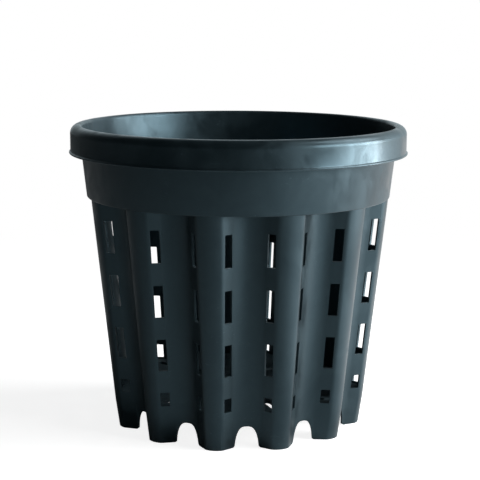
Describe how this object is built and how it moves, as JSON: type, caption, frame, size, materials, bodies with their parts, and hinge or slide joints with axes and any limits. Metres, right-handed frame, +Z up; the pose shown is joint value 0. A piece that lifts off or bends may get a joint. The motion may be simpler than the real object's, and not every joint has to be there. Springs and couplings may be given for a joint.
{
  "type": "air pruning pot",
  "caption": "Round plant pot with a rolled rim over a plain collar, a fluted tapering wall with slotted lobe flanks for air pruning, a raised drained floor, and lobes that stand as feet.",
  "frame": {"origin": "centre of the base, on the plane of the foot soles", "axes": "+Z up along the pot's axis through the mouth, one lobe centred on -Y"},
  "size_m": [0.3176, 0.3176, 0.2828],
  "materials": {
    "black_polypropylene": "satin moulded, blue-black"
  },
  "bodies": {
    "root": {"pot": "black_polypropylene"}
  },
  "joints": []
}
